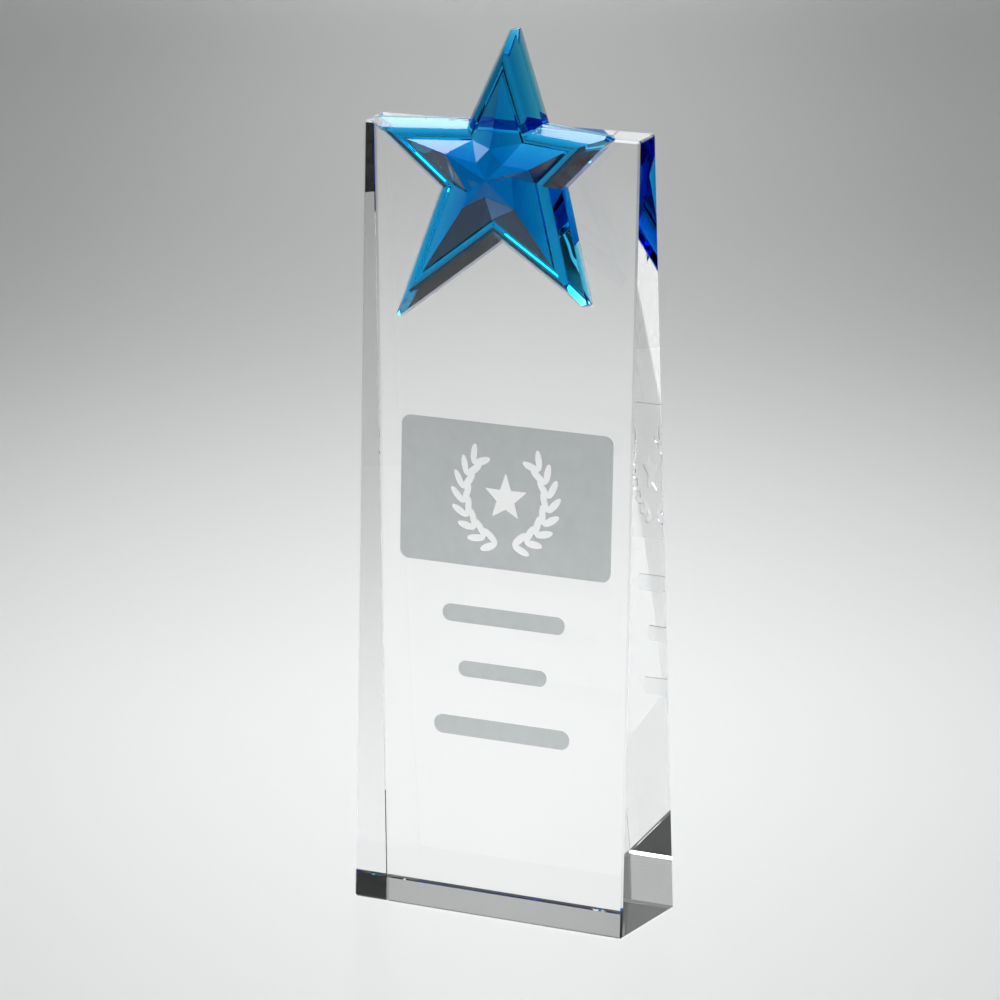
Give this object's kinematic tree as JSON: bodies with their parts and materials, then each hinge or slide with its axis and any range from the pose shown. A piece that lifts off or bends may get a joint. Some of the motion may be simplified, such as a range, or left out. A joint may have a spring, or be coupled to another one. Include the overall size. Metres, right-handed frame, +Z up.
{
  "type": "star trophy",
  "caption": "Clear wedge-shaped crystal block with a faceted blue glass star bonded to its front face, and a frosted panel and bars for an inscription.",
  "frame": {"origin": "centre of the block's foot, on the surface that it stands on", "axes": "+Z up, -Y out of the front face with the star, +X to the right of someone who faces the star"},
  "size_m": [0.08, 0.0327, 0.2337],
  "materials": {
    "clear_crystal": "polished optical crystal, with a frosted recess in the front face",
    "blue_glass": "pressed and polished blue glass",
    "clear_adhesive": "clear UV-cured film"
  },
  "bodies": {
    "root": {"crystal_block": "clear_crystal", "blue_star": "blue_glass", "star_bond": "clear_adhesive"}
  },
  "joints": []
}
